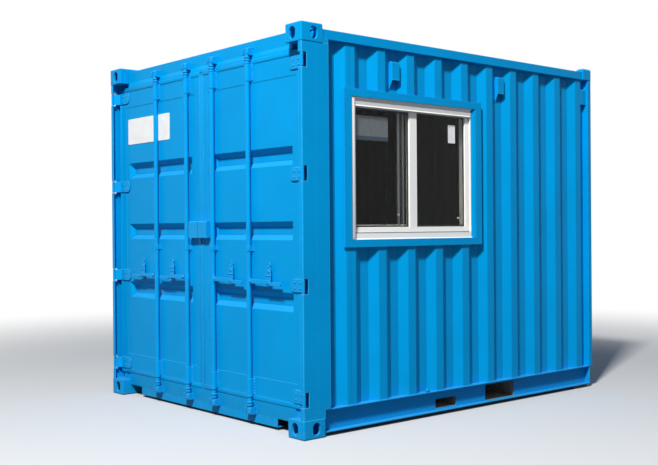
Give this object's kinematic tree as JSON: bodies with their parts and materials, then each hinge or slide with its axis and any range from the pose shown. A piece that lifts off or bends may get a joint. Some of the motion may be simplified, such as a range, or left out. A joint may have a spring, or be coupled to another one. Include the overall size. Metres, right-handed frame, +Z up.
{
  "type": "shipping container cabin",
  "caption": "Short steel shipping container with hinged end doors, locking bars and a sliding window in one corrugated long wall.",
  "frame": {"origin": "middle of the footprint, on the ground", "axes": "+X along the container from the door end to the far end; +Y across it, the window wall facing -Y; +Z up"},
  "size_m": [3.048, 2.438, 2.591],
  "materials": {
    "blue_paint": "semi-gloss",
    "door_paint": "semi-gloss",
    "bar_paint": "semi-gloss",
    "dark_underpaint": "matt",
    "zinc_steel": "dull zinc",
    "gasket_rubber": "rubber sprayed over in the door colour",
    "white_vinyl": "satin",
    "window_glass": "clear",
    "floor_plywood": "varnished"
  },
  "bodies": {
    "container": {"lower_corner_fittings": "blue_paint", "upper_corner_fittings": "blue_paint", "door_posts": "blue_paint", "hinge_pins": "zinc_steel", "door_header": "blue_paint", "door_sill": "blue_paint", "bar_keepers": "blue_paint", "top_side_rails": "blue_paint", "bottom_side_rails": "blue_paint", "fork_pockets": "blue_paint", "cross_members": "dark_underpaint", "floor_boards": "floor_plywood", "far_posts": "blue_paint", "far_top_blocks": "blue_paint", "far_end_rails": "blue_paint", "far_feet": "blue_paint", "blind_wall": "blue_paint", "far_end_wall": "blue_paint", "roof": "blue_paint", "window_wall_door_side": "blue_paint", "window_wall_far_side": "blue_paint", "window_wall_above": "blue_paint", "window_wall_below": "blue_paint", "window_surround": "blue_paint", "window_frame": "white_vinyl", "window_sashes": "white_vinyl", "window_glass": "window_glass", "vents": "blue_paint"},
    "right_door": {"right_door_frame": "door_paint", "right_door_panel": "door_paint", "right_door_gasket": "gasket_rubber", "right_door_hinges": "door_paint", "right_bar_brackets": "door_paint", "right_handle_catches": "door_paint", "right_lock_box": "door_paint"},
    "right_inner_bar": {"right_inner_bar": "bar_paint"},
    "right_inner_handle": {"right_inner_handle": "bar_paint"},
    "right_outer_bar": {"right_outer_bar": "bar_paint"},
    "right_outer_handle": {"right_outer_handle": "bar_paint"},
    "left_door": {"left_door_frame": "door_paint", "left_door_panel": "door_paint", "left_door_gasket": "gasket_rubber", "left_door_hinges": "door_paint", "left_bar_brackets": "door_paint", "left_handle_catches": "door_paint", "left_lock_box": "door_paint"},
    "left_inner_bar": {"left_inner_bar": "bar_paint"},
    "left_inner_handle": {"left_inner_handle": "bar_paint"},
    "left_outer_bar": {"left_outer_bar": "bar_paint"},
    "left_outer_handle": {"left_outer_handle": "bar_paint"}
  },
  "joints": [
    {"name": "right_door_swing", "type": "hinge", "parent": "container", "child": "right_door", "pos_m": [-1.51, -1.205, 1.302], "axis": [0, 0, 1], "range_deg": [0, 270]},
    {"name": "right_inner_bar_turn", "type": "hinge", "parent": "right_door", "child": "right_inner_bar", "pos_m": [-1.48, -0.168, 0.965], "axis": [0, 0, 1], "range_deg": [-90, 0]},
    {"name": "right_inner_handle_lift", "type": "hinge", "parent": "right_inner_bar", "child": "right_inner_handle", "pos_m": [-1.492, -0.206, 0.965], "axis": [-1, 0, 0], "range_deg": [0, 20]},
    {"name": "right_outer_bar_turn", "type": "hinge", "parent": "right_door", "child": "right_outer_bar", "pos_m": [-1.48, -0.593, 0.965], "axis": [0, 0, 1], "range_deg": [-90, 0]},
    {"name": "right_outer_handle_lift", "type": "hinge", "parent": "right_outer_bar", "child": "right_outer_handle", "pos_m": [-1.492, -0.631, 0.965], "axis": [-1, 0, 0], "range_deg": [0, 20]},
    {"name": "left_door_swing", "type": "hinge", "parent": "container", "child": "left_door", "pos_m": [-1.51, 1.205, 1.302], "axis": [0, 0, -1], "range_deg": [0, 270]},
    {"name": "left_inner_bar_turn", "type": "hinge", "parent": "left_door", "child": "left_inner_bar", "pos_m": [-1.48, 0.168, 0.965], "axis": [0, 0, -1], "range_deg": [-90, 0]},
    {"name": "left_inner_handle_lift", "type": "hinge", "parent": "left_inner_bar", "child": "left_inner_handle", "pos_m": [-1.492, 0.206, 0.965], "axis": [1, 0, 0], "range_deg": [0, 20]},
    {"name": "left_outer_bar_turn", "type": "hinge", "parent": "left_door", "child": "left_outer_bar", "pos_m": [-1.48, 0.593, 0.965], "axis": [0, 0, -1], "range_deg": [-90, 0]},
    {"name": "left_outer_handle_lift", "type": "hinge", "parent": "left_outer_bar", "child": "left_outer_handle", "pos_m": [-1.492, 0.631, 0.965], "axis": [1, 0, 0], "range_deg": [0, 20]}
  ]
}
